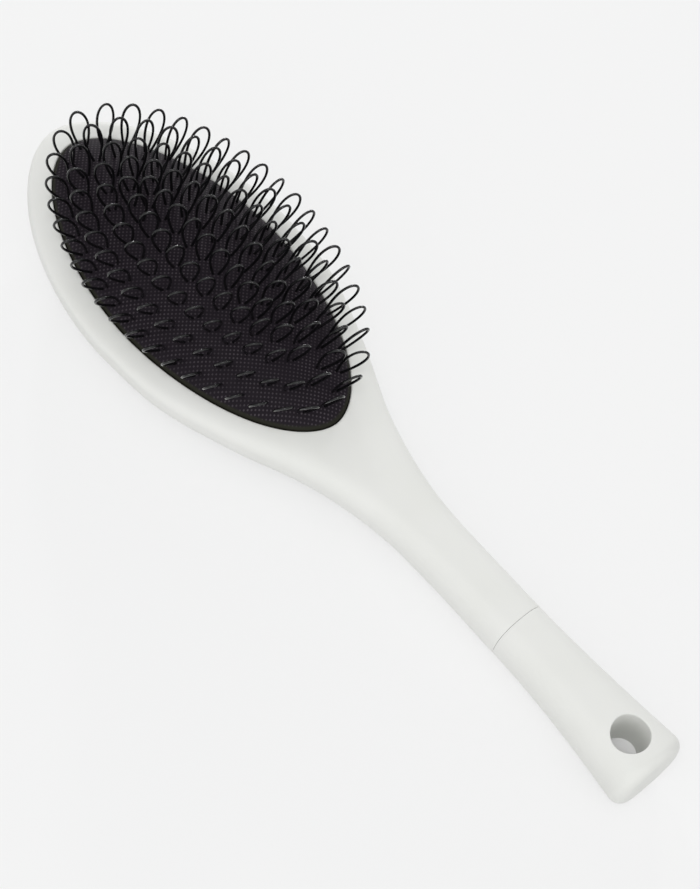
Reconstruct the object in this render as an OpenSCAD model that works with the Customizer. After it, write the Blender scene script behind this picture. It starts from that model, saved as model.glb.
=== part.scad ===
// Detangling brush: a soft oval air cushion with nylon loops in a moulded head and handle.
// It lies on its back, loops up. X runs from the nose of the head to the end of the tail.

/* [Length] */
// From the nose of the head to its widest place
nose_l = 59.5; // [50:0.5:70]
// From the widest place to where the neck ends in the grip
neck_l = 107; // [90:0.5:125]
// Straight part of the grip, up to the seam
grip_l = 21; // [10:0.5:40]
// Separate tail piece, from the seam to the end
tail_l = 50.5; // [42:0.5:60]

/* [Head] */
// Full width of the head
head_w = 65.6; // [60:0.2:72]
// Height of the face over the table
head_t = 19; // [17.5:0.5:24]
// Depth of the widest line below the face
edge_depth = 4.4; // [4:0.1:5.4]
// Air left under the cushion when it is pressed home
air_depth = 4.7; // [3:0.1:5.5]

/* [Handle] */
// Width of the grip
grip_w = 16.4; // [15.4:0.2:20]
// Clear height of the neck over the table
neck_rise = 5; // [3.5:0.25:5.5]
// Clear height of the handle over the table at the seam
seam_rise = 3.6; // [2.5:0.1:4.2]
// Width of the tail at its end
tail_w = 24; // [22:0.5:28]
// Drop of the face from the seam to the end of the tail
tail_drop = 1; // [0:0.25:1.5]
// Rounding of the edges round the end of the tail
tail_round = 2.6; // [1.5:0.1:3.2]
// Width of the hairline at the seam
seam_gap = 0.15; // [0.1:0.05:0.3]
// Depth of the flats that the brush lies on
rest_flat = 0.3; // [0.2:0.05:0.5]

/* [Hanging hole] */
// Diameter of the hole
hole_d = 10.4; // [8:0.2:11]
// From the middle of the hole to the end of the tail
hole_from_end = 10.4; // [9.5:0.2:12]

/* [Tail joint] */
// Diameter of the spigot
spigot_d = 8; // [6:0.25:9]
// Length of the spigot
spigot_l = 17; // [12:0.5:20]
// How far the bead stands out of the spigot
bead_h = 0.5; // [0.3:0.05:0.7]
// Length of the bead along the spigot
bead_l = 2.4; // [1.6:0.1:3]
// Gap all round the spigot and at its tip
spigot_fit = 0.05; // [0.03:0.01:0.1]

/* [Cushion] */
// Face left between the nose and the mouth that the cushion fills
nose_margin = 7.1; // [6:0.1:10]
// Face left at either side of the mouth
side_margin = 6.6; // [5.5:0.1:9]
// From the widest place of the head to the handle end of the mouth
mouth_back = 57.2; // [50:0.2:58]
// Rise of the crown over the face
crown_h = 10.7; // [8:0.1:12]
// Thickness of the rubber under the loops
pad_t = 1.6; // [1.2:0.1:1.8]
// Thickness of the flange
flange_t = 1.2; // [1:0.1:1.5]
// How far the flange reaches under the lip
flange_reach = 1.9; // [1.2:0.1:2.2]
// Thickness of the lip over the flange
lip_t = 1.5; // [1.2:0.1:2]
// Gap between the rubber and the head
rubber_gap = 0.3; // [0.2:0.05:0.4]
// Travel of the crown when it is pressed
press_travel = 2.5; // [1:0.25:3]

/* [Loops] */
// Height of a loop over the crown
loop_h = 13.4; // [10:0.2:18]
// Width of a loop
loop_w = 4.4; // [3:0.1:5]
// Thickness of the nylon
nylon_d = 0.7; // [0.5:0.05:0.8]
// Distance between the two legs in the rubber
leg_gap = 1.1; // [1:0.05:1.2]
// Spacing of the loops along the middle row
loop_pitch = 5.5; // [5.4:0.05:6.5]
// Lean of the outer loops to the sides
side_lean = 41; // [20:1:42]
// Lean of the loops towards the two ends
end_lean = 20; // [0:1:25]
// Lean of all loops towards the handle
handle_lean = 3; // [0:1:8]
// Turn of every loop from the length of the brush
loop_turn = 57; // [45:1:75]
// Further turn of the loops at the left side, taken off at the right side
side_turn = 14; // [0:1:20]
// Swing of that turn from loop to loop
turn_swing = 14; // [0:1:20]

/* [Hidden] */

body_color = "#e4e5e1";
rubber_color = "#302e35";
nylon_color = "#18181b";

// Places along the brush
overall_l = nose_l + neck_l + grip_l + tail_l;
wide_x = nose_l - overall_l / 2;
grip_x = wide_x + neck_l;
seam_x = grip_x + grip_l;
end_x = seam_x + tail_l;
hole_x = end_x - hole_from_end;
mouth_l = nose_l - nose_margin + mouth_back;
mouth_w = head_w - 2 * side_margin;
mouth_x = wide_x + mouth_back - mouth_l / 2;

// Outlines, as shares of the sizes above
neck_steps = 5;
neck_width_shares = [1, 0.923, 0.626, 0.25, 0.042, 0];
back_rise_shares = [0, 0.12, 0.5, 0.88, 1, 0.95];
widest_line_share = 0.55;
tail_flare_power = 1.75;
tail_back_power = 1.5;
nose_face_power = 8;
nose_back_power = 2.6;
head_face_power = 5;
grip_face_power = 2.4;
back_power = 2.25;

oval_power = 1.85;
crown_power = 0.7;

// Facets
section_sides = 40;
nose_rings = 14;
neck_rings = 22;
grip_rings = 2;
tail_rings = 8;
round_rings = 4;
oval_sides = 40;
edge_step_share = 0.6;
arc_steps = 144;
tube_sides = 3;
bore_sides = 96;
overrun = 1;

// The cushion and its seat, all from the face of the head
face_z = head_t;
flange_top_z = face_z - lip_t - rubber_gap;
flange_z = flange_top_z - flange_t;
groove_z = flange_z - rubber_gap;
floor_z = groove_z - press_travel - air_depth;
crown_top_z = face_z + crown_h;
mouth_a = mouth_l / 2;
mouth_b = mouth_w / 2;
pad_a = mouth_a - rubber_gap;
pad_b = mouth_b - rubber_gap;

// Four rings of loops and the middle row, as shares of the half length and half width of the mouth
ring_length_shares = [0.907, 0.796, 0.651, 0.534, 0.39];
ring_width_shares = [0.885, 0.693, 0.473, 0.245, 0];
ring_pitch_shares = [1.07, 1.08, 1.03, 1.01];
ring_phase_shares = [0.86, 0.95, 0.99, 0.96];
middle_row = len(ring_pitch_shares);
swing_step = 137.5;

// Way round one loop, from foot to foot, and how its legs draw together
loop_way_shares = [0, 0.165, 0.28, 0.375, 0.458, 0.542, 0.625, 0.72, 0.835, 1];
leg_width_share = 1.35;
leg_power = 0.6;

function signed_power(v, p) = sign(v) * pow(abs(v), p);
function oval_point(a, b, t, p = oval_power) =
    [a * signed_power(cos(t), 2 / p), b * signed_power(sin(t), 2 / p)];
function oval_points(a, b, p = oval_power) =
    [for (i = [0 : oval_sides - 1]) oval_point(a, b, 360 * i / oval_sides, p)];
function quarter(u, p) = pow(max(0, 1 - pow(u, p)), 1 / p);
function mix(a, b, u) = a + (b - a) * u;
function smooth(u) = u * u * (3 - 2 * u);

// A smooth curve through equally spaced shares
function share_at(shares, i) = shares[max(0, min(len(shares) - 1, i))];
function curve(shares, u) =
    let(s = u * (len(shares) - 1), i = min(floor(s), len(shares) - 2), f = s - i)
    let(p = share_at(shares, i), q = share_at(shares, i + 1))
    let(m = (q - share_at(shares, i - 1)) / 2, n = (share_at(shares, i + 2) - p) / 2)
    mix(p, q, smooth(f)) + m * f * (1 - f) * (1 - f) - n * f * f * (1 - f);

// Half width, face, widest line and back of the brush at a place along it
function nose_u(x) = (wide_x - x) / nose_l;
function neck_u(x) = (x - wide_x) / neck_l;
function tail_u(x) = (x - seam_x) / tail_l;
function half_w(x) =
    x < wide_x ? head_w / 2 * quarter(nose_u(x), oval_power) :
    x < grip_x ? mix(grip_w, head_w, curve(neck_width_shares, neck_u(x))) / 2 :
    x < seam_x ? grip_w / 2 :
    mix(grip_w, tail_w, pow(tail_u(x), tail_flare_power)) / 2;
function top_z(x) = x < seam_x ? face_z : face_z - tail_drop * pow(tail_u(x), 2);
function grip_rise(x) =
    mix(neck_rise * back_rise_shares[neck_steps], seam_rise, smooth((x - grip_x) / grip_l));
function bottom_z(x) =
    x < wide_x ? -rest_flat :
    x < grip_x ? mix(-rest_flat, neck_rise, curve(back_rise_shares, neck_u(x))) :
    x < seam_x ? grip_rise(x) :
    mix(seam_rise, -rest_flat, pow(tail_u(x), tail_back_power));
function line_z(x) =
    x < wide_x ? face_z - edge_depth :
    x < grip_x ? mix(face_z - edge_depth, grip_line_z(x), smooth(neck_u(x))) :
    grip_line_z(x);
function grip_line_z(x) = mix(top_z(x), bottom_z(x), widest_line_share);
function face_power(x) =
    x < wide_x ? head_face_power :
    x < grip_x ? mix(head_face_power, grip_face_power, smooth(neck_u(x))) :
    grip_face_power;

// One closed section of the body, drawn in by a distance where edges are rounded
function section(x, inset = 0) =
    let(zl = line_z(x), u = x < wide_x ? nose_u(x) : 0)
    let(w = half_w(x) - inset)
    let(up = (top_z(x) - zl) * quarter(u, nose_face_power) - inset)
    let(down = (zl - bottom_z(x)) * quarter(u, nose_back_power) - inset)
    [for (j = [0 : section_sides - 1])
        let(t = 360 * j / section_sides, p = t <= 180 ? face_power(x) : back_power)
        [x, w * signed_power(cos(t), 2 / p),
            max(inset, zl + (t <= 180 ? up : down) * signed_power(sin(t), 2 / p))]];

// Faces of a skin over rings of points, with a point or a flat end at either end
function skin_faces(count, sides) =
    [for (k = [0 : count - 2], j = [0 : sides - 1])
        let(a = k * sides + j, b = k * sides + (j + 1) % sides)
        each [[a, b + sides, b], [a, a + sides, b + sides]]];
function fan_faces(centre, first, sides, flip) =
    [for (j = [0 : sides - 1])
        let(a = first + j, b = first + (j + 1) % sides)
        flip ? [centre, b, a] : [centre, a, b]];
function joined(lists) = [for (l = lists) each l];

module skin(sections, start, finish) {
    sides = len(sections[0]);
    count = len(sections);
    points = concat(joined(sections), [start, finish]);
    faces = concat(
        skin_faces(count, sides),
        fan_faces(count * sides, 0, sides, false),
        fan_faces(count * sides + 1, (count - 1) * sides, sides, true)
    );
    polyhedron(points = points, faces = faces);
}

function mean(values) = values * [for (v = values) 1] / len(values);
function middle(points) = [for (k = [0 : 2]) mean([for (p = points) p[k]])];

module head_shell() {
    nose = [for (i = [1 : nose_rings]) wide_x - nose_l * sin(90 - 90 * i / (nose_rings + 1))];
    neck = [for (i = [0 : neck_rings]) wide_x + neck_l * i / neck_rings];
    grip = [for (i = [1 : grip_rings]) grip_x + grip_l * i / grip_rings];
    places = concat(nose, neck, grip);
    sections = [for (x = places) section(x)];
    tip = [wide_x - nose_l, 0, line_z(wide_x)];
    skin(sections, tip, middle(sections[len(sections) - 1]));
}

module oval_prism(a, b, z0, z1) {
    translate([mouth_x, 0, z0]) linear_extrude(height = z1 - z0) polygon(oval_points(a, b));
}

// Head, neck and grip in one moulding, with the air chamber and the socket for the tail
module head_and_handle() {
    groove_reach = flange_reach + rubber_gap;
    color(body_color)
    difference() {
        head_shell();
        oval_prism(mouth_a, mouth_b, floor_z, face_z + overrun);
        oval_prism(mouth_a + groove_reach, mouth_b + groove_reach, groove_z, flange_top_z + rubber_gap);
        socket();
    }
}

function joint_z() = mix(top_z(seam_x), bottom_z(seam_x), 1 / 2);

// Turned profile about the axis of the tail joint, starting at the seam and running into the grip
module joint_turning(profile) {
    translate([seam_x, 0, joint_z()]) rotate([0, -90, 0])
        rotate_extrude($fn = bore_sides) polygon(profile);
}

function bead_profile(r, l, gap) = [
    [0, 0], [r + gap, 0],
    [r + gap, l / 2 - bead_l / 2 - bead_h - gap], [r + bead_h + gap, l / 2 - bead_l / 2 - gap],
    [r + bead_h + gap, l / 2 + bead_l / 2 + gap], [r + gap, l / 2 + bead_l / 2 + bead_h + gap],
    [r + gap, l + gap], [0, l + gap]
];

module socket() {
    joint_turning(bead_profile(spigot_d / 2, spigot_l, spigot_fit));
    translate([seam_x, 0, joint_z()]) rotate([0, 90, 0])
        cylinder(d = spigot_d, h = overrun, $fn = bore_sides);
}

// Tail piece with its spigot and hanging hole
module handle_tail() {
    flare = [for (i = [0 : tail_rings]) mix(seam_x + seam_gap, end_x - tail_round, i / tail_rings)];
    turns = [for (i = [1 : round_rings]) 90 * i / round_rings];
    body = [for (x = flare) section(x)];
    edge = [for (t = turns) rounded_section(t)];
    sections = concat(body, edge);
    color(body_color)
    difference() {
        union() {
            skin(sections, middle(sections[0]), middle(sections[len(sections) - 1]));
            joint_turning(bead_profile(spigot_d / 2, spigot_l, 0));
            translate([seam_x, 0, joint_z()]) rotate([0, 90, 0])
                cylinder(d = spigot_d, h = seam_gap + overrun, $fn = bore_sides);
        }
        translate([hole_x, 0, -overrun]) cylinder(d = hole_d, h = face_z + 2 * overrun, $fn = bore_sides);
    }
}

function rounded_section(t) =
    let(x = end_x - tail_round * (1 - sin(t)))
    [for (p = section(end_x - tail_round * (1 - sin(t)), tail_round * (1 - cos(t)))) [x, p[1], p[2]]];

// A ring-shaped solid, closed from its last ring of points back to its first
module closed_skin(sections) {
    sides = len(sections[0]);
    count = len(sections);
    last = (count - 1) * sides;
    closing = [for (j = [0 : sides - 1])
        let(a = last + j, b = last + (j + 1) % sides, c = j, d = (j + 1) % sides)
        each [[a, d, b], [a, c, d]]];
    polyhedron(points = joined(sections), faces = concat(skin_faces(count, sides), closing));
}

// Height of the crown over a place in the mouth
function crown_z(x, y) = face_z + crown_h *
    pow(max(0, 1 - pow(abs(x) / pad_a, oval_power) - pow(abs(y) / pad_b, oval_power)), crown_power);
function crown_ring(a, b, drop) =
    [for (q = oval_points(a, b)) [mouth_x + q[0], q[1], crown_z(q[0], q[1]) - drop]];

// Flange of the cushion, held down in the groove by the lip of the mouth
module cushion_flange() {
    color(rubber_color)
    difference() {
        oval_prism(mouth_a + flange_reach, mouth_b + flange_reach, flange_z, flange_top_z);
        oval_prism(mouth_a, mouth_b, flange_z - overrun, flange_top_z + overrun);
    }
}

// Half length and half width of a ring of loops, counted from the outside in to the middle row
function ring_a(ring) = mouth_a * ring_length_shares[ring];
function ring_b(ring) = mouth_b * ring_width_shares[ring];

// Slices of the crown meet halfway between two rings of loops
function cut_a(ring) = ring == 0 ? pad_a : mix(ring_a(ring - 1), ring_a(ring), 1 / 2);
function cut_b(ring) = ring == 0 ? pad_b : mix(ring_b(ring - 1), ring_b(ring), 1 / 2);
function cut_ring(ring, drop) = crown_ring(cut_a(ring), cut_b(ring), drop);
function loop_line(ring, drop) = crown_ring(ring_a(ring), ring_b(ring), drop);
function edge_line(ring, drop) = crown_ring(
    mix(ring_a(ring), cut_a(ring), edge_step_share),
    mix(ring_b(ring), cut_b(ring), edge_step_share),
    drop);
function core_line(drop) = crown_ring(cut_a(middle_row) / 2, cut_b(middle_row) / 2, drop);

module crown_slice(ring) {
    if (ring == middle_row) {
        skin(
            [core_line(pad_t), cut_ring(ring, pad_t), cut_ring(ring, 0), core_line(0)],
            [mouth_x, 0, crown_top_z - pad_t],
            [mouth_x, 0, crown_top_z]
        );
    } else {
        under = [cut_ring(ring + 1, pad_t), loop_line(ring, pad_t)];
        side = [cut_ring(ring, pad_t), cut_ring(ring, 0)];
        over = [loop_line(ring, 0), cut_ring(ring + 1, 0)];
        if (ring == 0)
            closed_skin(concat(under, [edge_line(ring, pad_t)], side, [edge_line(ring, 0)], over));
        else
            closed_skin(concat(under, side, over));
    }
}

// Length along a ring of loops, and the places at equal steps along it
function ring_track(ring) =
    [for (i = [0 : arc_steps]) oval_point(ring_a(ring), ring_b(ring), 360 * i / arc_steps)];
function step_length(track, i) = norm(track[min(i + 1, len(track) - 1)] - track[i]);
function running_sum(track) =
    [for (i = 0, s = 0; i < len(track); s = s + step_length(track, i), i = i + 1) s];
function ring_table(ring) =
    let(track = ring_track(ring), sum = running_sum(track))
    [for (i = [0 : arc_steps]) [sum[i], track[i][0], track[i][1]]];
function ring_length(table) = table[len(table) - 1][0];
function ring_count(ring) = round(ring_length(ring_table(ring)) / (loop_pitch * ring_pitch_shares[ring]));
function place(table, share) =
    let(s = ring_length(table) * share)
    [lookup(s, [for (r = table) [r[0], r[1]]]), lookup(s, [for (r = table) [r[0], r[2]]])];

// Loops stand up in the middle and lean out towards the sides and the ends
function unit(v) = v / norm(v);
function lean(p) =
    unit([tan(handle_lean) + tan(end_lean) * p[0] / mouth_a, tan(side_lean) * p[1] / mouth_b, 1]);

// Drop-shaped centre line of one loop, both feet in the rubber
function rise_share(t) = (1 - cos(t)) / 2;
function loop_shape() = [for (s = loop_way_shares)
    let(t = 360 * s, h = rise_share(t))
    let(foot = (cos(180 * s) > 0 ? 1 : -1) * leg_gap / 2 * (1 - h))
    [foot + loop_w / 2 * leg_width_share * sin(t) * pow(h, leg_power), (loop_h + pad_t / 2) * h]];
function shape_way(shape, i) = unit(shape[min(i + 1, len(shape) - 1)] - shape[max(i - 1, 0)]);

module loop(p, swing) {
    turn = loop_turn + side_turn * p[1] / mouth_b + turn_swing * sin(swing_step * swing);
    up = lean(p);
    wide = unit(cross(cross(up, [cos(turn), sin(turn), 0]), up));
    out = cross(up, wide);
    foot = [mouth_x + p[0], p[1], crown_z(p[0], p[1]) - pad_t / 2];
    shape = loop_shape();
    sections = [for (i = [0 : len(shape) - 1])
        let(c = foot + wide * shape[i][0] + up * shape[i][1])
        let(way = shape_way(shape, i), n = up * way[0] - wide * way[1])
        [for (j = [0 : tube_sides - 1])
            let(t = -360 * j / tube_sides)
            c + nylon_d / 2 * (n * cos(t) + out * sin(t))]];
    skin(sections, middle(sections[0]), middle(sections[len(sections) - 1]));
}

// One ring of loops, fused to its slice of the crown
module loop_ring(number) {
    ring = number - 1;
    table = ring_table(ring);
    count = ring_count(ring);
    color(nylon_color) {
        crown_slice(ring);
        for (i = [0 : count - 1])
            loop(place(table, (i + ring_phase_shares[ring]) / count), i + number);
    }
}

// The straight row of loops along the middle, fused to the innermost slice
module loop_middle_row() {
    steps = round(2 * ring_a(middle_row) / loop_pitch);
    color(nylon_color) {
        crown_slice(middle_row);
        for (i = [0 : steps])
            loop([ring_a(middle_row) * (2 * i / steps - 1), 0], i);
    }
}

head_and_handle();
handle_tail();
cushion_flange();
loop_ring(1);  // loop_ring_1
loop_ring(2);  // loop_ring_2
loop_ring(3);  // loop_ring_3
loop_ring(4);  // loop_ring_4
loop_middle_row();
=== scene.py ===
"""Looks of a detangling brush: two soft-touch mouldings and a rubber air cushion full of nylon loops."""

import logging
import math
from abc import ABC, abstractmethod
from dataclasses import dataclass, field
from enum import Enum

import bmesh
import bpy
import numpy as np
from mathutils import Matrix, Vector


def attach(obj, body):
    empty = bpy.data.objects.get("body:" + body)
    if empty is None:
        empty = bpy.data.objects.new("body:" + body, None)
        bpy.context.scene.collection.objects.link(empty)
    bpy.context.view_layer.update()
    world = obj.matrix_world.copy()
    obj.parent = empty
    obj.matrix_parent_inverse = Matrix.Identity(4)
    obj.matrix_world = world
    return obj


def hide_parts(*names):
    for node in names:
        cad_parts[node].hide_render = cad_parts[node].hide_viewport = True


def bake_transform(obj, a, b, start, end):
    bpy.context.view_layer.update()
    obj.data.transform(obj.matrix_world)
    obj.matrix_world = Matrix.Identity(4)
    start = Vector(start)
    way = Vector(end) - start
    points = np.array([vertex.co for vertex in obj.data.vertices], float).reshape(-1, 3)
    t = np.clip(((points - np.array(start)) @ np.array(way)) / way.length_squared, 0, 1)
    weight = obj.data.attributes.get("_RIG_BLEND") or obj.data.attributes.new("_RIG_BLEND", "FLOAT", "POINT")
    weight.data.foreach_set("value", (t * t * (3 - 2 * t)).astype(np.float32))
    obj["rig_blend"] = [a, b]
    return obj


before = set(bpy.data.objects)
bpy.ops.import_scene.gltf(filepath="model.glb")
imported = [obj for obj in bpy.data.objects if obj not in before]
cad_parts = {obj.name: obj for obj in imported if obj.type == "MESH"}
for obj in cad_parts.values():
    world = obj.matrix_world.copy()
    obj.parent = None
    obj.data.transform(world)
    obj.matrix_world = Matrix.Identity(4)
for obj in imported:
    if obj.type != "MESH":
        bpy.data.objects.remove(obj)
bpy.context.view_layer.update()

MM = 0.001
# Attributes of the membrane: height at rest in metres, and turn round the crown in radians
RISE, TURN = "rise", "turn"
# Band in which most values of a noise texture lie
NOISE_BAND = (0.3, 0.7)
# Sockets of the node that mixes two colours
MIX_COLOUR_A, MIX_COLOUR_B, MIX_COLOUR_OUT = 6, 7, 2
# Degrees from one loop to the next, so that a swing never repeats round a ring
GOLDEN_ANGLE = 137.5
# Millimetres within which vertices merge, lie on an end face, or lie at an opening
WELD, NEAR, SLACK = 1e-4, 1e-3, 0.01

Colour = tuple[float, float, float]
Edges = list[bmesh.types.BMEdge]
Verts = list[bmesh.types.BMVert]
log = logging.getLogger("brush")


class Body(str, Enum):
    """Bodies of the frame that a piece can ride on."""

    BRUSH = "brush_body"
    CROWN = "cushion_crown"


class Slot(str, Enum):
    """Material slots of the record."""

    BODY = "soft_touch_body"
    RUBBER = "cushion_rubber"
    NYLON = "nylon"


def extrude(bm: bmesh.types.BMesh, edges: Edges) -> tuple[Verts, Edges]:
    """Extrude the open edge of a skin.

    Args:
        bm: The skin.
        edges: Its open edge.

    Returns:
        The new vertices, still in the place of the old ones, and the new open edge.
    """
    made = bmesh.ops.extrude_edge_only(bm, edges=edges)["geom"]
    verts = [part for part in made if isinstance(part, bmesh.types.BMVert)]
    return verts, [part for part in made if isinstance(part, bmesh.types.BMEdge) and part.is_boundary]


def quarter(share: float, power: float) -> float:
    """Height of a unit superellipse at a share of its half width."""
    return max(0.0, 1.0 - min(1.0, share) ** power) ** (1.0 / power)


def mix(start: float, end: float, share: float) -> float:
    """Value at a share of the way from start to end."""
    return start + (end - start) * share


def smooth(share: float) -> float:
    """Share eased in and out."""
    return share * share * (3.0 - 2.0 * share)


def signed_power(value: np.ndarray | float, power: float) -> np.ndarray | float:
    """Power of the size of a value, with its sign kept."""
    return np.sign(value) * np.abs(value) ** power


def curve_at(shares: tuple[float, ...], u: float) -> float:
    """Smooth curve through equally spaced shares.

    Args:
        shares: Values at equal steps of u from 0 to 1.
        u: Place along the curve.

    Returns:
        The value of the curve at u.
    """
    last = len(shares) - 1
    s = u * last
    i = min(math.floor(s), last - 1)
    f = s - i
    before, after = shares[max(0, i - 1)], shares[min(last, i + 2)]
    p, q = shares[i], shares[i + 1]
    m, n = (q - before) / 2, (after - p) / 2
    return mix(p, q, smooth(f)) + m * f * (1 - f) ** 2 - n * f * f * (1 - f)


@dataclass(frozen=True)
class BodyProfile:
    """Outline and cross-section of the mouldings, in millimetres."""

    nose_l: float = 59.5
    neck_l: float = 107.0
    grip_l: float = 21.0
    tail_l: float = 50.5
    head_w: float = 65.6
    head_t: float = 19.0
    edge_depth: float = 4.4
    grip_w: float = 16.4
    neck_rise: float = 5.0
    seam_rise: float = 3.6
    tail_w: float = 24.0
    tail_drop: float = 1.0
    rest_flat: float = 0.3
    end_round: float = 2.6
    end_corner: float = 4.0
    widest_line: float = 0.55
    neck_widths: tuple[float, ...] = (1, 0.923, 0.626, 0.25, 0.042, 0)
    back_rises: tuple[float, ...] = (0, 0.12, 0.5, 0.88, 1, 0.95)
    oval_power: float = 1.85
    flare_power: float = 1.75
    tail_back_power: float = 1.5
    nose_face_power: float = 8.0
    nose_back_power: float = 2.6
    head_face_power: float = 5.0
    grip_face_power: float = 2.4
    back_power: float = 2.25
    samples: int = 500
    bend_weight: float = 0.7

    @property
    def nose_x(self) -> float:
        """Place of the nose of the head."""
        return -(self.nose_l + self.neck_l + self.grip_l + self.tail_l) / 2

    @property
    def wide_x(self) -> float:
        """Widest place of the head."""
        return self.nose_x + self.nose_l

    @property
    def grip_x(self) -> float:
        """Where the neck ends in the grip."""
        return self.wide_x + self.neck_l

    @property
    def seam_x(self) -> float:
        """Place of the seam between handle and tail."""
        return self.grip_x + self.grip_l

    @property
    def end_x(self) -> float:
        """End of the tail."""
        return self.seam_x + self.tail_l

    def neck_share(self, x: float) -> float:
        """Share of the neck that is passed at x."""
        return (x - self.wide_x) / self.neck_l

    def tail_share(self, x: float) -> float:
        """Share of the tail that is passed at x."""
        return (x - self.seam_x) / self.tail_l

    def half_width(self, x: float) -> float:
        """Half width of the body.

        Args:
            x: Place along the brush.

        Returns:
            The half width in plan, before the end of the tail is rounded over.
        """
        if x < self.wide_x:
            return self.head_w / 2 * quarter((self.wide_x - x) / self.nose_l, self.oval_power)
        if x < self.grip_x:
            return mix(self.grip_w, self.head_w, curve_at(self.neck_widths, self.neck_share(x))) / 2
        if x < self.seam_x:
            return self.grip_w / 2
        flare = mix(self.grip_w, self.tail_w, self.tail_share(x) ** self.flare_power) / 2
        return flare - self.rounding(x, self.end_corner) + self.rounding(x, self.end_round)

    def rounding(self, x: float, radius: float) -> float:
        """How far a corner of that radius at the end of the tail draws in at x."""
        past = min(radius, max(0.0, x - self.end_x + radius))
        return radius - math.sqrt(radius * radius - past * past)

    def face(self, x: float) -> float:
        """Height of the face over the table at x."""
        return self.head_t - self.tail_drop * max(0.0, self.tail_share(x)) ** 2

    def back(self, x: float) -> float:
        """Height of the back over the table.

        Args:
            x: Place along the brush.

        Returns:
            The height, a little below 0 where a flat is cut.
        """
        if x < self.wide_x:
            return -self.rest_flat
        if x < self.grip_x:
            return mix(-self.rest_flat, self.neck_rise, curve_at(self.back_rises, self.neck_share(x)))
        if x < self.seam_x:
            share = smooth((x - self.grip_x) / self.grip_l)
            return mix(self.neck_rise * self.back_rises[-1], self.seam_rise, share)
        return mix(self.seam_rise, -self.rest_flat, self.tail_share(x) ** self.tail_back_power)

    def line(self, x: float) -> float:
        """Height of the widest line over the table.

        Args:
            x: Place along the brush.

        Returns:
            The height at which the section is widest.
        """
        head, grip = self.head_t - self.edge_depth, mix(self.face(x), self.back(x), self.widest_line)
        if x < self.wide_x:
            return head
        return mix(head, grip, smooth(self.neck_share(x))) if x < self.grip_x else grip

    def face_power(self, x: float) -> float:
        """Exponent that shapes the face side of the section at x."""
        share = smooth(min(1.0, max(0.0, self.neck_share(x))))
        return mix(self.head_face_power, self.grip_face_power, share)

    def half_section(self, x: float, rows: int, inset: float, opening: "Opening | None") -> np.ndarray:
        """Half a cross-section, from the middle of the face round the side to the middle of the back.

        Args:
            x: Place along the brush.
            rows: Number of points.
            inset: Distance by which the section is drawn in.
            opening: Opening whose edge the section starts from, or None.

        Returns:
            An array of y and z, with one row for each point.
        """
        nose_u = max(0.0, (self.wide_x - x) / self.nose_l)
        middle, width = self.line(x), max(1e-6, self.half_width(x) - inset)
        up = (self.face(x) - middle) * quarter(nose_u, self.nose_face_power) - inset
        down = (middle - self.back(x)) * quarter(nose_u, self.nose_back_power) - inset
        from_y = opening.half_chord(x) if opening else 0.0
        to_y = from_y if opening and opening.through else 0.0
        s = np.linspace(0, 1, self.samples)
        halves = []
        for reach, power, edge in ((up, self.face_power(x), from_y), (-down, self.back_power, to_y)):
            limit = math.acos(min(1.0, edge / width) ** (power / 2))
            first, second = (2 * s) ** (power / 2) / 2, 1 - (2 - 2 * s) ** (power / 2) / 2
            t = limit * np.where(s < 0.5, first, second)
            y = width * np.cos(t) ** (2 / power)
            z = middle + reach * np.sin(t) ** (2 / power)
            halves.append(np.stack([y, np.maximum(z, inset)], axis=1))
        halves[0][-1, 0], halves[1][-1, 0] = from_y, to_y
        dense = np.concatenate([halves[0][::-1], halves[1][1:]])
        return self.respace(dense, rows)

    def respace(self, dense: np.ndarray, rows: int) -> np.ndarray:
        """Pick points along a line, closer together where it bends.

        Args:
            dense: The line as many points of y and z.
            rows: Number of points to keep.

        Returns:
            An array of y and z, with one row for each point.
        """
        step = np.diff(dense, axis=0)
        length = np.hypot(step[:, 0], step[:, 1])
        angle = np.unwrap(np.arctan2(step[:, 1], step[:, 0]))
        turn = np.append(0.0, np.abs(np.diff(angle)))
        turn[length < 1e-5] = 0.0
        measure = length / max(length.sum(), 1e-9) + self.bend_weight * turn / max(turn.sum(), 1e-9)
        along = np.append(0.0, np.cumsum(measure))
        wanted = np.linspace(0, along[-1], rows)
        return np.stack([np.interp(wanted, along, dense[:, k]) for k in (0, 1)], axis=1)


@dataclass(frozen=True)
class Opening:
    """Oval opening in the face of a moulding, in millimetres, with a rounded lip."""

    centre_x: float
    half_length: float
    half_width: float
    power: float
    lip: float
    through: bool

    @property
    def reach(self) -> float:
        """Half length of the opening's outer edge."""
        return self.half_length + self.lip

    @property
    def span(self) -> tuple[float, float]:
        """Places where the opening's outer edge starts and ends."""
        return self.centre_x - self.reach, self.centre_x + self.reach

    def half_chord(self, x: float) -> float:
        """Half width of the opening's outer edge at x."""
        share = min(1.0, abs(x - self.centre_x) / self.reach)
        return (self.half_width + self.lip) * quarter(share, self.power)

    def columns(self, count: int) -> list[float]:
        """Places along the brush that pass the opening in even steps of its edge.

        Args:
            count: Number of steps.

        Returns:
            Places from one end of the opening to the other.
        """
        turns = np.linspace(math.pi, 0, count + 1)
        places = self.reach * signed_power(np.cos(turns), 2 / self.power)
        return [self.centre_x + float(place) for place in places]


MOUTH = Opening(centre_x=-57.1, half_length=54.8, half_width=26.2, power=1.85, lip=0.45, through=False)
HANG_HOLE = Opening(centre_x=108.6, half_length=5.2, half_width=5.2, power=2.0, lip=0.35, through=True)
PROFILE = BodyProfile()


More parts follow.
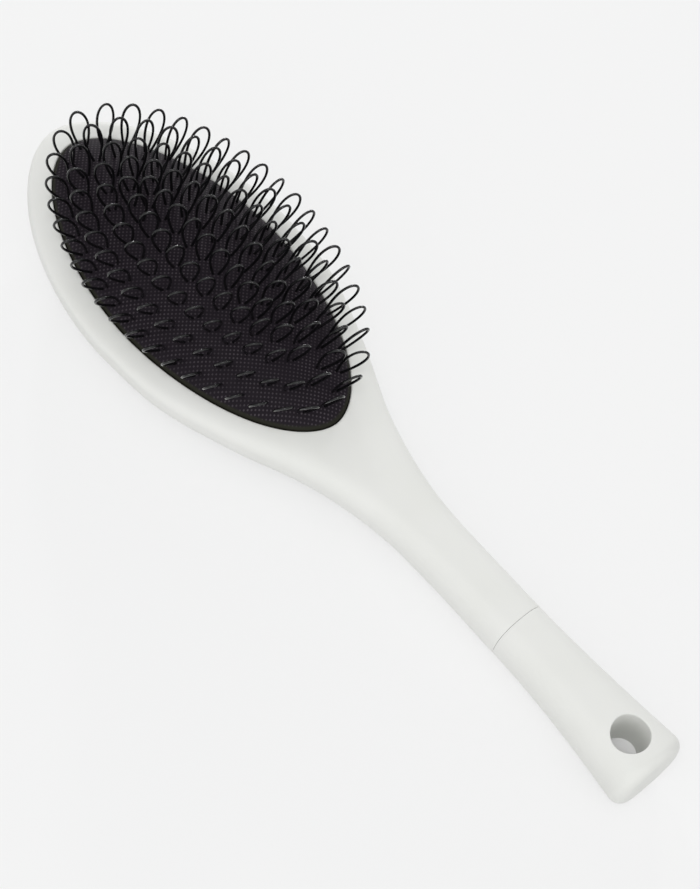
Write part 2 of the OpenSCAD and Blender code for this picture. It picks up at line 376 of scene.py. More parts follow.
class Shade:
    """Small helper that adds and joins nodes of one material."""

    def __init__(self, name: str) -> None:
        """Make an empty material with its shader and output.

        Args:
            name: Name of the material.
        """
        self.material = bpy.data.materials.new(name)
        self.material.use_nodes = True
        self.tree = self.material.node_tree
        self.shader = self.tree.nodes["Principled BSDF"]
        self.coords = self.add("ShaderNodeTexCoord").outputs["Object"]

    def add(self, kind: str, **settings: object) -> bpy.types.Node:
        """Add a node and set its properties.

        Args:
            kind: Type of the node.
            **settings: Properties of the node, by name.

        Returns:
            The new node.
        """
        node = self.tree.nodes.new(kind)
        for key, value in settings.items():
            setattr(node, key, value)
        return node

    def join(self, source: bpy.types.NodeSocket, target: bpy.types.NodeSocket) -> None:
        """Join an output to an input."""
        self.tree.links.new(source, target)

    def math(
        self, operation: str, first: object, second: object = 0.0, clamp: bool = False
    ) -> bpy.types.NodeSocket:
        """Add a math node.

        Args:
            operation: What it works out.
            first: Number or output for the first input.
            second: Number or output for the second input.
            clamp: Whether the result is kept from 0 to 1.

        Returns:
            The output of the node.
        """
        node = self.add("ShaderNodeMath", operation=operation, use_clamp=clamp)
        for socket, value in zip(node.inputs, (first, second)):
            if isinstance(value, bpy.types.NodeSocket):
                self.join(value, socket)
            else:
                socket.default_value = float(value)
        return node.outputs[0]

    def noise(self, scale: float, detail: float = 2.0) -> bpy.types.NodeSocket:
        """Add a noise texture on the object's own coordinates.

        Args:
            scale: Cells in a metre.
            detail: Number of finer layers.

        Returns:
            The output that holds its value.
        """
        node = self.add("ShaderNodeTexNoise")
        node.inputs["Scale"].default_value = scale
        node.inputs["Detail"].default_value = detail
        self.join(self.coords, node.inputs["Vector"])
        return node.outputs["Fac"]

    def ramp(self, value: bpy.types.NodeSocket, stops: list[tuple[float, Colour]]) -> bpy.types.NodeSocket:
        """Add a colour ramp.

        Args:
            value: Output that the ramp reads.
            stops: Places and colours of the ramp.

        Returns:
            The output that holds its colour.
        """
        node = self.add("ShaderNodeValToRGB")
        while len(node.color_ramp.elements) < len(stops):
            node.color_ramp.elements.new(1.0)
        for element, (place, colour) in zip(node.color_ramp.elements, stops):
            element.position = place
            element.color = (*colour, 1.0)
        self.join(value, node.inputs["Fac"])
        return node.outputs["Color"]

    def range(
        self,
        value: bpy.types.NodeSocket,
        low: float,
        high: float,
        to_low: float = 0.0,
        to_high: float = 1.0,
    ) -> bpy.types.NodeSocket:
        """Map a range of values to another, eased and clamped.

        Args:
            value: Output that is mapped.
            low: Value that gives to_low.
            high: Value that gives to_high.
            to_low: Result at low.
            to_high: Result at high.

        Returns:
            The output with the result.
        """
        node = self.add("ShaderNodeMapRange", interpolation_type="SMOOTHSTEP")
        for key, number in (("From Min", low), ("From Max", high), ("To Min", to_low), ("To Max", to_high)):
            node.inputs[key].default_value = number
        self.join(value, node.inputs["Value"])
        return node.outputs["Result"]

    def spread(self, noise: bpy.types.NodeSocket, to_low: float, to_high: float) -> bpy.types.NodeSocket:
        """Spread the middle band of a noise over a range."""
        return self.range(noise, *NOISE_BAND, to_low, to_high)

    def bump(self, height: bpy.types.NodeSocket, distance: float, strength: float = 1.0) -> None:
        """Raise the surface by a height.

        Args:
            height: Output with the height, from 0 to 1.
            distance: Height in metres at 1.
            strength: Share of the effect.
        """
        node = self.add("ShaderNodeBump")
        node.inputs["Distance"].default_value = distance
        node.inputs["Strength"].default_value = strength
        self.join(height, node.inputs["Height"])
        before = self.shader.inputs["Normal"].links
        if before:
            self.join(before[0].from_socket, node.inputs["Normal"])
        self.join(node.outputs["Normal"], self.shader.inputs["Normal"])

    def set(self, **values: float) -> None:
        """Set plain values on the shader's own inputs, with underscores for spaces."""
        for key, value in values.items():
            self.shader.inputs[key.replace("_", " ")].default_value = value


class Finish(ABC):
    """Finish of a piece."""

    @abstractmethod
    def make(self) -> bpy.types.Material:
        """Make the material of the finish."""


@dataclass(frozen=True)
class SoftTouchPlastic(Finish):
    """Matt off-white plastic with a soft, faintly mottled skin."""

    pale: Colour = (0.795, 0.80, 0.775)
    deep: Colour = (0.775, 0.782, 0.752)
    mottle_band: tuple[float, float] = (0.35, 0.65)
    mottle_scale: float = 45.0
    roughness: tuple[float, float] = (0.48, 0.56)
    rough_scale: float = 900.0
    rough_detail: float = 3.0
    specular: float = 0.35
    sheen: float = 0.06
    sheen_roughness: float = 0.5
    grain_scale: float = 5200.0
    grain_depth: float = 0.00002
    grain_strength: float = 0.35

    def make(self) -> bpy.types.Material:
        """Make the matt plastic.

        Returns:
            The material.
        """
        shade = Shade("soft_touch_plastic")
        stops = list(zip(self.mottle_band, (self.deep, self.pale)))
        tint = shade.ramp(shade.noise(self.mottle_scale), stops)
        shade.join(tint, shade.shader.inputs["Base Color"])
        rough = shade.spread(shade.noise(self.rough_scale, self.rough_detail), *self.roughness)
        shade.join(rough, shade.shader.inputs["Roughness"])
        shade.set(
            Specular_IOR_Level=self.specular, Sheen_Weight=self.sheen, Sheen_Roughness=self.sheen_roughness
        )
        shade.bump(shade.noise(self.grain_scale), self.grain_depth, self.grain_strength)
        return shade.material


@dataclass(frozen=True)
class DottedRubber(Finish):
    """Dark rubber with a staggered grid of fine paler dots on its crown and a smooth side."""

    ground: Colour = (0.0158, 0.0122, 0.0166)
    side: Colour = (0.022, 0.022, 0.016)
    side_edge: tuple[float, float] = (0.0195, 0.0202)
    dot: Colour = (0.076, 0.066, 0.076)
    dot_edge: tuple[float, float] = (0.3, 0.8)
    dot_height: float = 0.00005
    dot_strength: float = 0.8
    pitch: float = 0.00141
    wear: tuple[float, float] = (0.35, 0.85)
    wear_scale: float = 160.0
    roughness: tuple[float, float] = (0.5, 0.6)
    rough_scale: float = 2500.0
    specular: float = 0.06
    grain_scale: float = 6000.0
    grain_depth: float = 0.00001
    grain_strength: float = 0.3

    def make(self) -> bpy.types.Material:
        """Make the dotted rubber.

        Returns:
            The material.
        """
        shade = Shade("dotted_rubber")
        split = shade.add("ShaderNodeSeparateXYZ")
        shade.join(shade.coords, split.inputs[0])
        waves = [
            shade.math("COSINE", shade.math("MULTIPLY", split.outputs[axis], 2 * math.pi / self.pitch))
            for axis in (0, 1)
        ]
        cells = shade.math("MULTIPLY", *waves)
        rise = shade.add("ShaderNodeAttribute", attribute_name=RISE).outputs["Fac"]
        crown = shade.range(rise, *self.side_edge)
        dots = shade.math("MULTIPLY", shade.range(cells, *self.dot_edge), crown)
        wear = shade.spread(shade.noise(self.wear_scale), *self.wear)
        blend = shade.add("ShaderNodeMix", data_type="RGBA")
        shade.join(shade.math("MULTIPLY", dots, wear), blend.inputs["Factor"])
        shade.join(shade.ramp(crown, [(0.0, self.side), (1.0, self.ground)]), blend.inputs[MIX_COLOUR_A])
        blend.inputs[MIX_COLOUR_B].default_value = (*self.dot, 1.0)
        shade.join(blend.outputs[MIX_COLOUR_OUT], shade.shader.inputs["Base Color"])
        rough = shade.spread(shade.noise(self.rough_scale), *self.roughness)
        shade.join(rough, shade.shader.inputs["Roughness"])
        shade.set(Specular_IOR_Level=self.specular)
        shade.bump(dots, self.dot_height, self.dot_strength)
        shade.bump(shade.noise(self.grain_scale), self.grain_depth, self.grain_strength)
        return shade.material


@dataclass(frozen=True)
class GlossyNylon(Finish):
    """Black drawn nylon with a bright, slightly uneven gloss."""

    colour: Colour = (0.004, 0.004, 0.0045)
    tint_gain: float = 1.5
    tint_scale: float = 400.0
    roughness: tuple[float, float] = (0.05, 0.09)
    rough_scale: float = 1500.0
    specular: float = 0.5
    grain_scale: float = 4000.0
    grain_depth: float = 0.00001
    grain_strength: float = 0.2

    def make(self) -> bpy.types.Material:
        """Make the nylon.

        Returns:
            The material.
        """
        shade = Shade("glossy_nylon")
        paler = tuple(c * self.tint_gain for c in self.colour)
        stops = list(zip(NOISE_BAND, (self.colour, paler)))
        tint = shade.ramp(shade.noise(self.tint_scale), stops)
        shade.join(tint, shade.shader.inputs["Base Color"])
        rough = shade.spread(shade.noise(self.rough_scale), *self.roughness)
        shade.join(rough, shade.shader.inputs["Roughness"])
        shade.set(Specular_IOR_Level=self.specular)
        shade.bump(shade.noise(self.grain_scale), self.grain_depth, self.grain_strength)
        return shade.material


@dataclass(frozen=True)
class PaleFloor(Finish):
    """Plain pale table top that keeps a soft shadow of the brush, with painted shade under the hanging hole,
    where its glow is cut back.
    """

    colour: Colour = (0.81, 0.81, 0.81)
    mottle: float = 0.995
    mottle_band: tuple[float, float] = (0.4, 0.6)
    mottle_scale: float = 3.0
    roughness: float = 0.9
    seen: Colour = (0.965, 0.968, 0.968)
    seen_share: float = 0.62
    # Painted shade: near the hanging hole the floor's glow falls to this share, so the table's real shade
    # there shows darker
    hole_shade_share: float = 0.06
    hole_shade_edge: tuple[float, float] = (0.0055, 0.0075)

    def make(self) -> bpy.types.Material:
        """Make the floor's finish.

        Returns:
            The material.
        """
        shade = Shade("pale_floor")
        deeper = tuple(c * self.mottle for c in self.colour)
        stops = list(zip(self.mottle_band, (deeper, self.colour)))
        tint = shade.ramp(shade.noise(self.mottle_scale), stops)
        shade.join(tint, shade.shader.inputs["Base Color"])
        shade.set(Roughness=self.roughness, Specular_IOR_Level=0.0)
        rays = shade.add("ShaderNodeLightPath").outputs
        seen = shade.math("ADD", rays["Is Camera Ray"], rays["Is Glossy Ray"], clamp=True)
        seen = shade.math("ADD", seen, rays["Is Transmission Ray"], clamp=True)
        plain = shade.add("ShaderNodeEmission")
        plain.inputs["Color"].default_value = (*self.seen, 1.0)
        both = shade.add("ShaderNodeMixShader")
        # Painted shade under the hanging hole: the glow is cut back near the hole's centre, and the table's
        # real shade shows through
        away = shade.add("ShaderNodeVectorMath", operation="DISTANCE")
        shade.join(shade.coords, away.inputs[0])
        away.inputs[1].default_value = (HANG_HOLE.centre_x * MM, 0.0, 0.0)
        share = shade.range(away.outputs["Value"], *self.hole_shade_edge, self.hole_shade_share, self.seen_share)
        shade.join(shade.math("MULTIPLY", seen, share), both.inputs[0])
        shade.join(shade.shader.outputs[0], both.inputs[1])
        shade.join(plain.outputs[0], both.inputs[2])
        shade.join(both.outputs[0], shade.tree.nodes["Material Output"].inputs["Surface"])
        return shade.material


@dataclass
class Piece(ABC):
    """One piece of the brush, with its finish and the frame's nodes that it stands for."""

    name: str
    slot: Slot
    nodes: tuple[str, ...]

    @abstractmethod
    def shape(self) -> bpy.types.Mesh:
        """Make the mesh of the piece, in place and in metres."""

    def attach(self, piece: bpy.types.Object) -> None:
        """Tie the piece to the body that it moves with."""
        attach(piece, Body.BRUSH.value)

    def build(self, material: bpy.types.Material) -> bpy.types.Object:
        """Make, dress and attach the piece.

        Args:
            material: Finish of the piece.

        Returns:
            The finished object.
        """
        mesh = self.shape()
        mesh.materials.append(material)
        piece = bpy.data.objects.new(self.name, mesh)
        bpy.context.scene.collection.objects.link(piece)
        self.attach(piece)
        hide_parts(*self.nodes)
        log.info("%s: %d faces", self.name, len(mesh.polygons))
        return piece

    def close(self, bm: bmesh.types.BMesh, sharp: float = 35.0) -> bpy.types.Mesh:
        """Turn a bmesh in millimetres into a smooth mesh in metres.

        Args:
            bm: The modelled shape, which is freed.
            sharp: Angle in degrees from which an edge stays sharp.

        Returns:
            The mesh.
        """
        bmesh.ops.remove_doubles(bm, verts=bm.verts, dist=WELD)
        bmesh.ops.dissolve_degenerate(bm, edges=bm.edges, dist=WELD)
        bmesh.ops.recalc_face_normals(bm, faces=bm.faces)
        bmesh.ops.scale(bm, vec=(MM, MM, MM), verts=bm.verts)
        mesh = bpy.data.meshes.new(self.name)
        for face in bm.faces:
            face.smooth = True
        bm.to_mesh(mesh)
        bm.free()
        mesh.set_sharp_from_angle(angle=math.radians(sharp))
        return mesh


@dataclass
class Moulding(Piece):
    """Moulding that follows the profile of the brush between two places and has one opening."""

    profile: BodyProfile = PROFILE
    opening: Opening = MOUTH
    rows: int = 64
    seam_soft: float = 0.1
    lip_steps: int = 5

    @abstractmethod
    def columns(self) -> list[tuple[float, float]]:
        """Places along the brush with the inset of the section at each."""

    def skin(self) -> bmesh.types.BMesh:
        """Shape a grid into the skin of the moulding and mirror it.

        Returns:
            The open skin in millimetres, with the edges of its opening left as boundaries.
        """
        columns = self.columns()
        first, last = self.opening.span
        table = [
            self.profile.half_section(x, self.rows, inset, self.opening if first < x < last else None)
            for x, inset in columns
        ]
        bm = bmesh.new()
        bmesh.ops.create_grid(bm, x_segments=len(columns) - 1, y_segments=self.rows - 1, size=0.5)
        for vert in bm.verts:
            i = round((vert.co.x + 0.5) * (len(columns) - 1))
            y, z = table[i][round((vert.co.y + 0.5) * (self.rows - 1))]
            vert.co = Vector((columns[i][0], y, z))
        bmesh.ops.mirror(bm, geom=bm.verts[:] + bm.edges[:] + bm.faces[:], axis="Y", merge_dist=WELD)
        bmesh.ops.remove_doubles(bm, verts=bm.verts, dist=WELD)
        return bm

    def rim_edges(self, bm: bmesh.types.BMesh, upper: bool) -> Edges:
        """Boundary edges round the opening, on the face or on the back.

        Args:
            bm: The skin of the moulding.
            upper: Whether the edges on the face are wanted.

        Returns:
            The edges of that loop.
        """
        first, last = self.opening.span
        found = []
        for edge in bm.edges:
            middle = (edge.verts[0].co + edge.verts[1].co) / 2
            inside = first - SLACK < middle.x < last + SLACK
            if edge.is_boundary and inside and (middle.z > self.profile.line(middle.x)) == upper:
                found.append(edge)
        return found

    def round_lip(self, bm: bmesh.types.BMesh, edges: Edges, side: float) -> Edges:
        """Roll the edge of the opening over into its wall.

        Args:
            bm: The skin of the moulding.
            edges: Boundary loop to roll over.
            side: Which way the wall goes, -1 down or 1 up.

        Returns:
            The edges where the wall starts.
        """
        hole = self.opening
        for k in range(self.lip_steps):
            turn, after = (math.radians(90 * n / self.lip_steps) for n in (k, k + 1))
            now, then = hole.lip * (1 - math.sin(turn)), hole.lip * (1 - math.sin(after))
            verts, edges = extrude(bm, edges)
            for vert in verts:
                along = (hole.half_length + then) / (hole.half_length + now)
                vert.co.x = hole.centre_x + (vert.co.x - hole.centre_x) * along
                vert.co.y *= (hole.half_width + then) / (hole.half_width + now)
                vert.co.z += side * hole.lip * (math.cos(turn) - math.cos(after))
        return edges

    def fill_end(self, bm: bmesh.types.BMesh, x: float) -> None:
        """Close the open end of the skin at x with a flat face."""
        ring = [e for e in bm.edges if e.is_boundary and all(abs(v.co.x - x) < NEAR for v in e.verts)]
        bmesh.ops.edgeloop_fill(bm, edges=ring)


@dataclass
class HeadMoulding(Moulding):
    """Head, neck and grip in one moulding, with the well that the cushion sits in."""

    name: str = "head_and_handle_moulding"
    slot: Slot = Slot.BODY
    nodes: tuple[str, ...] = ("head_and_handle",)
    well_floor: float = 8.5
    nose_steps: int = 26
    mouth_steps: int = 130
    neck_steps: int = 87
    seam_turns: tuple[float, ...] = (0.5, 1.05, math.pi / 2)

    def columns(self) -> list[tuple[float, float]]:
        """Places from the nose to the seam, close together at the nose, the mouth and the seam.

        Returns:
            Each place with the inset of the section there.
        """
        mouth = self.opening.columns(self.mouth_steps)
        reach = mouth[0] - self.profile.nose_x
        turns = [math.pi / 2 * k / self.nose_steps for k in range(self.nose_steps)]
        nose = [self.profile.nose_x + reach * (1 - math.cos(t)) for t in turns]
        seam, soft = self.profile.seam_x, self.seam_soft
        neck = list(np.linspace(mouth[-1], seam - soft, self.neck_steps + 1)[1:])
        end = [(seam - soft * (1 - math.sin(t)), soft * (1 - math.cos(t))) for t in self.seam_turns]
        return [(float(x), 0.0) for x in nose + mouth + neck] + end

    def shape(self) -> bpy.types.Mesh:
        """Make the moulding with its rounded lip and its well.

        Returns:
            The mesh.
        """
        bm = self.skin()
        edges = self.round_lip(bm, self.rim_edges(bm, upper=True), side=-1.0)
        verts, edges = extrude(bm, edges)
        for vert in verts:
            vert.co.z = self.well_floor
        bmesh.ops.edgeloop_fill(bm, edges=edges)
        self.fill_end(bm, self.profile.seam_x)
        return self.close(bm)


@dataclass
class TailMoulding(Moulding):
    """Separate flared tail with its hanging hole and rounded end."""

    name: str = "tail_moulding"
    slot: Slot = Slot.BODY
    nodes: tuple[str, ...] = ("handle_tail",)
    opening: Opening = HANG_HOLE
    rows: int = 72
    seam_gap: float = 0.09
    seam_turns: tuple[float, ...] = (0.0, 0.52, 1.07)
    flare_steps: int = 49
    hole_steps: int = 56
    flat_steps: int = 4
    end_steps: int = 12

    def columns(self) -> list[tuple[float, float]]:
        """Places from the seam to the end, close together at both ends and at the hole.

        Returns:
            Each place with the inset of the section there.
        """
        hole = self.opening.columns(self.hole_steps)
        start, soft = self.profile.seam_x + self.seam_gap, self.seam_soft
        seam = [(start + soft * (1 - math.cos(t)), soft * (1 - math.sin(t))) for t in self.seam_turns]
        flare = list(np.linspace(start + soft, hole[0], self.flare_steps + 1)[:-1])
        last, radius = self.profile.end_x, self.profile.end_round
        flat = list(np.linspace(hole[-1], last - radius, self.flat_steps + 1)[1:])
        turns = [math.radians(90 * k / self.end_steps) for k in range(1, self.end_steps + 1)]
        end = [(last - radius * (1 - math.sin(t)), radius * (1 - math.cos(t))) for t in turns]
        return seam + [(float(x), 0.0) for x in flare + hole + flat] + end

    def shape(self) -> bpy.types.Mesh:
        """Make the tail with its hole open from face to back.

        Returns:
            The mesh.
        """
        bm = self.skin()
        upper = self.round_lip(bm, self.rim_edges(bm, upper=True), side=-1.0)
        lower = self.round_lip(bm, self.rim_edges(bm, upper=False), side=1.0)
        bmesh.ops.bridge_loops(bm, edges=upper + lower)
        self.fill_end(bm, self.profile.seam_x + self.seam_gap)
        self.fill_end(bm, self.profile.end_x)
        return self.close(bm)


@dataclass(frozen=True)
class Crown:
    """Domed top of the cushion, in millimetres."""

    centre_x: float = -57.1
    half_length: float = 54.5
    half_width: float = 25.9
    face_z: float = 19.0
    height: float = 10.7
    power: float = 1.85
    steepness: float = 0.7

    def z(self, x: float, y: float) -> float:
        """Height of the crown over the table at a place from its middle."""
        reach = (abs(x) / self.half_length) ** self.power + (abs(y) / self.half_width) ** self.power
        return self.face_z + self.height * max(0.0, 1.0 - reach) ** self.steepness


@dataclass
class CushionMembrane(Piece):
    """Domed rubber membrane with the flange that is held in the groove of the head."""

    name: str = "cushion_membrane"
    slot: Slot = Slot.RUBBER
    nodes: tuple[str, ...] = (
        "cushion_flange", "loop_ring_1", "loop_ring_2", "loop_ring_3", "loop_ring_4", "loop_middle_row",
    )
    crown: Crown = Crown()
    thickness: float = 1.6
    flange_reach: float = 1.9
    flange_top: float = 17.2
    flange_back: float = 16.0
    shoulder: tuple[tuple[float, float], ...] = ((0.0, 0.4), (0.05, 0.1))
    pole: float = 0.001
    segments: int = 256
    dome_rings: int = 46
    under_step: int = 3

    def ring(
        self,
        bm: bmesh.types.BMesh,
        edges: Edges,
        inset: float,
        share: float,
        height: float | None,
        drop: float,
    ) -> Edges:
        """Extrude the open edge of the membrane into its next ring.

        Args:
            bm: The membrane so far.
            edges: Its open edge, empty for the first ring.
            inset: Distance in from the side of the crown, or out where negative.
            share: Share of that oval which the ring keeps.
            height: Height of the ring, or None for the crown's own.
            drop: Distance under the crown, where its own height is used.

        Returns:
            The new open edge.
        """
        if edges:
            verts, edges = extrude(bm, edges)
        else:
            verts = bmesh.ops.create_circle(bm, cap_ends=False, segments=self.segments, radius=1.0)["verts"]
            edges = bm.edges[:]
            for v in verts:
                v[self.turn_layer] = math.atan2(v.co.y, v.co.x)
        a, b = self.crown.half_length - inset, self.crown.half_width - inset
        for v in verts:
            t = v[self.turn_layer]
            x = a * share * float(signed_power(math.cos(t), 2 / self.crown.power))
            y = b * share * float(signed_power(math.sin(t), 2 / self.crown.power))
            z = self.crown.z(x, y) - drop if height is None else height
            v.co = Vector((self.crown.centre_x + x, y, z))
            v[self.rise_layer] = z * MM
        return edges

    def shape(self) -> bpy.types.Mesh:
        """Make the membrane from the middle of its underside round the flange to the top of the dome.

        Returns:
            The mesh, with the height of each vertex at rest in an attribute.
        """
        bm = bmesh.new()
        for name in (TURN, RISE):
            bm.verts.layers.float.new(name)
        self.turn_layer, self.rise_layer = (bm.verts.layers.float[name] for name in (TURN, RISE))
        spread = [math.sin(math.pi / 2 * k / self.dome_rings) for k in range(1, self.dome_rings + 1)]
        edges: Edges = []
        for share in [self.pole] + spread[::self.under_step]:
            edges = self.ring(bm, edges, self.thickness, share, None, self.thickness)
        side = [
            (self.thickness, self.flange_back),
            (-self.flange_reach, self.flange_back),
            (-self.flange_reach, self.flange_top),
            (0.0, self.flange_top),
        ]
        for inset, height in side + [(inset, self.crown.face_z - depth) for inset, depth in self.shoulder]:
            edges = self.ring(bm, edges, inset, 1.0, height, 0.0)
        for share in spread[-2::-1] + [self.pole]:
            edges = self.ring(bm, edges, 0.0, share, None, 0.0)
        bmesh.ops.edgeloop_fill(bm, edges=edges)
        bmesh.ops.edgeloop_fill(bm, edges=[e for e in bm.edges if e.is_boundary])
        return self.close(bm, sharp=50.0)

    def attach(self, piece: bpy.types.Object) -> None:
        """Let the flange stay with the head while the dome sinks."""
        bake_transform(piece, Body.BRUSH.value, Body.CROWN.value, start=(0, 0, 0.0172), end=(0, 0, 0.0206))


@dataclass
class LoopRing(Piece):
    """One ring of nylon loops on the crown, or its middle row where the ring has no width."""

    number: int
    half_length: float
    half_width: float
    count: int
    phase: float
    crown: Crown = Crown()
    height: float = 13.4
    width: float = 4.4
    filament: float = 0.76
    leg_gap: float = 1.1
    bulge: float = 1.35
    bulge_power: float = 0.6
    sunk: float = 0.8
    turn: float = 57.0
    side_turn: float = 14.0
    swing: float = 14.0
    side_lean: float = 41.0
    end_lean: float = 20.0
    handle_lean: float = 3.0
    near_side_lean: float = 35.0
    near_handle_lean: float = 7.5
    near_turn: float = 14.0
    near_reach: float = 12.0
    steps: int = 34
    samples: int = 145
    mouth: Opening = MOUTH

    def feet(self) -> list[tuple[float, float]]:
        """Places of the loops, at equal steps along the ring or the row.

        Returns:
            The x and y of each loop from the middle of the crown.
        """
        if not self.half_width:
            return [(float(x), 0.0) for x in np.linspace(-self.half_length, self.half_length, self.count)]
        t = np.linspace(0, 2 * math.pi, self.samples)
        x = self.half_length * signed_power(np.cos(t), 2 / self.crown.power)
        y = self.half_width * signed_power(np.sin(t), 2 / self.crown.power)
        along = np.append(0.0, np.cumsum(np.hypot(np.diff(x), np.diff(y))))
        wanted = along[-1] * (np.arange(self.count) + self.phase) / self.count
        return list(zip(np.interp(wanted, along, x), np.interp(wanted, along, y)))

    def nearness(self, y: float) -> float:
        """Share of the near side's settings that a loop takes at y."""
        return min(1.0, max(0.0, -y / self.near_reach))

    def angle(self, i: int, y: float) -> float:
        """Turn of a loop about its own axis.

        Args:
            i: Number of the loop in its ring.
            y: Place across the crown.

        Returns:
            The turn from the long axis of the brush, in radians.
        """
        share = y / self.mouth.half_width
        side = self.side_turn * share if y > 0 else -self.near_turn * share
        wave = math.sin(math.radians(GOLDEN_ANGLE * (i + self.number)))
        swing = self.swing * (1.0 - self.nearness(y)) * wave
        return math.radians(self.turn + side + swing)

    def lean(self, x: float, y: float) -> Vector:
        """Direction in which the loop at a place stands.

        Args:
            x: Place along the crown.
            y: Place across the crown.

        Returns:
            A unit vector from foot to top.
        """
        near = self.nearness(y)
        leans = (
            mix(self.handle_lean, self.near_handle_lean, near),
            self.end_lean,
            self.near_side_lean if y < 0 else self.side_lean,
        )
        handle, end, side = (math.tan(math.radians(angle)) for angle in leans)
        along = handle + end * x / self.mouth.half_length
        return Vector((along, side * y / self.mouth.half_width, 1.0)).normalized()

    def outline(self) -> list[tuple[float, float]]:
        """Drop-shaped centre line of a loop.

        Returns:
            Points from foot to foot, each as a distance across and a height over the feet.
        """
        points = []
        for k in range(self.steps + 1):
            s = k / self.steps
            h = (1 - math.cos(2 * math.pi * s)) / 2
            foot = math.copysign(self.leg_gap / 2 * (1 - h), math.cos(math.pi * s))
            across = foot + self.width / 2 * self.bulge * math.sin(2 * math.pi * s) * h ** self.bulge_power
            points.append((across, (self.height + self.sunk) * h))
        return points

    def shape(self) -> bpy.types.Mesh:
        """Draw each loop as a round filament and turn them all into one mesh.

        Returns:
            The mesh.
        """
        curve = bpy.data.curves.new(self.name, "CURVE")
        curve.dimensions = "3D"
        curve.bevel_depth = self.filament / 2 * MM
        curve.bevel_resolution = 1
        curve.use_fill_caps = True
        curve.twist_mode = "MINIMUM"
        for i, (x, y) in enumerate(self.feet()):
            up = self.lean(x, y)
            turn = self.angle(i, y)
            wide = up.cross(Vector((math.cos(turn), math.sin(turn), 0.0))).cross(up).normalized()
            foot = Vector((self.crown.centre_x + x, y, self.crown.z(x, y) - self.sunk))
            line = [foot + wide * across + up * rise for across, rise in self.outline()]
            spline = curve.splines.new("POLY")
            spline.points.add(len(line) - 1)
            for point, place in zip(spline.points, line):
                point.co = (*(place * MM), 1.0)
        holder = bpy.data.objects.new(self.name + "_line", curve)
        bpy.context.scene.collection.objects.link(holder)
        mesh = bpy.data.meshes.new_from_object(holder.evaluated_get(bpy.context.evaluated_depsgraph_get()))
        bpy.data.objects.remove(holder)
        bpy.data.curves.remove(curve)
        mesh.materials.clear()
        mesh.polygons.foreach_set("use_smooth", [True] * len(mesh.polygons))
        return mesh

    def attach(self, piece: bpy.types.Object) -> None:
        """Let the loops move with the crown."""
        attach(piece, Body.CROWN.value)


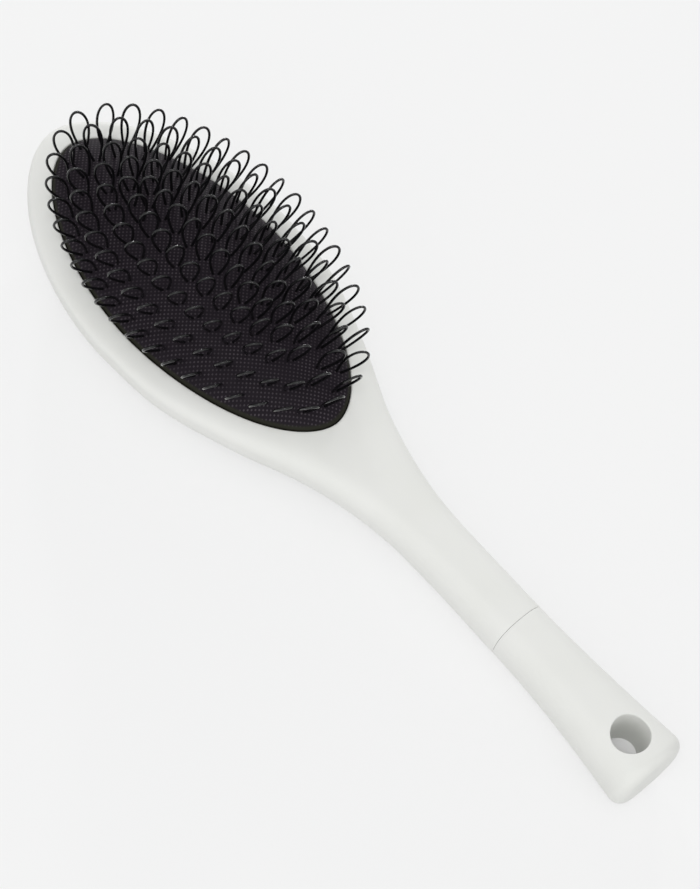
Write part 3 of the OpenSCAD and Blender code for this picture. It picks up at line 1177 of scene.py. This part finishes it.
@dataclass
class Studio:
    """Pale table, soft light and the camera of the photograph, in metres and watts."""

    target: Vector = field(default_factory=lambda: Vector((4.58, -1.32, 19.0)) * MM)
    back: Vector = field(default_factory=lambda: Vector((0.28038, -0.38515, 0.87923)))
    right: Vector = field(default_factory=lambda: Vector((0.66317, 0.73994, 0.11265)))
    up: Vector = field(default_factory=lambda: Vector((-0.69397, 0.55149, 0.46289)))
    distance: float = 0.6816
    lens: float = 106.53
    table_reach: float = 3.0
    lamps: tuple[tuple[str, tuple[float, float, float], float, float], ...] = (
        ("overhead", (0.2, -0.45, 1.2), 0.34, 3.2),
        ("back_right", (-0.75, 1.05, 0.24), 0.1, 3.4),
        ("back_left", (-1.07, 0.72, 0.25), 0.1, 3.4),
        ("front", (0.15, -0.95, 0.75), 0.9, 0.6),
    )
    bright_side: tuple[float, float, float] = (0.52, -0.5, 0.68)
    dim: float = 0.08
    bright: float = 0.98

    def camera(self) -> None:
        """Place the camera where the photograph was taken from."""
        data = bpy.data.cameras.new("camera")
        data.lens = self.lens
        data.sensor_width = 36.0
        data.clip_start, data.clip_end = 0.01, 20.0
        camera = bpy.data.objects.new("camera", data)
        turn = Matrix((self.right, self.up, self.back)).transposed().to_4x4()
        camera.matrix_world = Matrix.Translation(self.target + self.back * self.distance) @ turn
        bpy.context.scene.collection.objects.link(camera)
        bpy.context.scene.camera = camera

    def floor(self, material: bpy.types.Material) -> None:
        """Lay the table top under the brush.

        Args:
            material: Finish of the table top.
        """
        bm = bmesh.new()
        bmesh.ops.create_grid(bm, x_segments=1, y_segments=1, size=self.table_reach)
        mesh = bpy.data.meshes.new("table")
        bm.to_mesh(mesh)
        bm.free()
        mesh.materials.append(material)
        table = bpy.data.objects.new("table", mesh)
        bpy.context.scene.collection.objects.link(table)

    def lamp(self, name: str, place: tuple[float, float, float], size: float, power: float) -> None:
        """Hang a square soft lamp that looks at the brush.

        Args:
            name: Name of the lamp.
            place: Where it hangs, in metres.
            size: Length of its side in metres.
            power: Power in watts.
        """
        data = bpy.data.lights.new(name, "AREA")
        data.shape, data.size, data.energy = "SQUARE", size, power
        lamp = bpy.data.objects.new(name, data)
        lamp.location = place
        lamp.visible_camera = False
        lamp.rotation_euler = (-Vector(place)).to_track_quat("-Z", "Y").to_euler()
        bpy.context.scene.collection.objects.link(lamp)

    def light(self) -> None:
        """Hang the lamps and set the surroundings."""
        for lamp in self.lamps:
            self.lamp(*lamp)
        self.surroundings()

    def surroundings(self) -> None:
        """Surround the brush with light that fades from one side, plain white where the camera looks."""
        world = bpy.data.worlds.new("studio")
        world.use_nodes = True
        tree = world.node_tree
        shade = tree.nodes["Background"]
        shade.inputs["Color"].default_value = (1, 1, 1, 1)
        path = tree.nodes.new("ShaderNodeLightPath")
        seen = tree.nodes.new("ShaderNodeMath")
        seen.operation, seen.use_clamp = "ADD", True
        tree.links.new(path.outputs["Is Camera Ray"], seen.inputs[0])
        tree.links.new(path.outputs["Is Transmission Ray"], seen.inputs[1])
        side = tree.nodes.new("ShaderNodeVectorMath")
        side.operation = "DOT_PRODUCT"
        side.inputs[1].default_value = Vector(self.bright_side).normalized()
        tree.links.new(tree.nodes.new("ShaderNodeTexCoord").outputs["Generated"], side.inputs[0])
        level = tree.nodes.new("ShaderNodeMapRange")
        limits = {"From Min": -1.0, "From Max": 1.0, "To Min": self.dim, "To Max": self.bright}
        for key, number in limits.items():
            level.inputs[key].default_value = number
        tree.links.new(side.outputs["Value"], level.inputs["Value"])
        strength = tree.nodes.new("ShaderNodeMapRange")
        tree.links.new(level.outputs["Result"], strength.inputs["To Min"])
        strength.inputs["To Max"].default_value = 1.0
        tree.links.new(seen.outputs[0], strength.inputs["Value"])
        tree.links.new(strength.outputs["Result"], shade.inputs["Strength"])
        bpy.context.scene.world = world


@dataclass
class DetanglingBrush:
    """The whole brush: two mouldings, the cushion and its rings of loops."""

    rings: tuple[tuple[float, float, int, float], ...] = (
        (49.7, 23.2, 40, 0.86),
        (43.6, 18.2, 34, 0.95),
        (35.7, 12.4, 28, 0.99),
        (29.3, 6.4, 22, 0.96),
    )
    middle_row: tuple[float, float, int, float] = (21.4, 0.0, 9, 0.0)

    def loops(self) -> list[LoopRing]:
        """Rings of loops from the outermost in, then the middle row.

        Returns:
            The five groups of loops.
        """
        rings = [
            LoopRing(f"nylon_loops_{k}", Slot.NYLON, (f"loop_ring_{k}",), k, *ring)
            for k, ring in enumerate(self.rings, start=1)
        ]
        row = LoopRing("nylon_loops_middle", Slot.NYLON, ("loop_middle_row",), 0, *self.middle_row)
        return [*rings, row]

    def pieces(self) -> list[tuple[Piece, Finish]]:
        """Pieces of the brush in the order in which they are built.

        Returns:
            Each piece with its finish.
        """
        body, rubber, nylon = SoftTouchPlastic(), DottedRubber(), GlossyNylon()
        cushion = [(CushionMembrane(), rubber), *((ring, nylon) for ring in self.loops())]
        return [(HeadMoulding(), body), (TailMoulding(), body), *cushion]

    def build(self) -> None:
        """Build every piece, with one material for each finish."""
        materials: dict[Finish, bpy.types.Material] = {}
        for piece, finish in self.pieces():
            if finish not in materials:
                materials[finish] = finish.make()
            piece.build(materials[finish])


def main() -> None:
    """Build the studio and the brush."""
    logging.basicConfig(level=logging.INFO, format="%(message)s")
    bpy.context.scene.view_settings.view_transform = "Standard"
    studio = Studio()
    studio.camera()
    studio.floor(PaleFloor().make())
    studio.light()
    DetanglingBrush().build()
    bpy.context.view_layer.update()


if __name__ == "__main__":
    main()
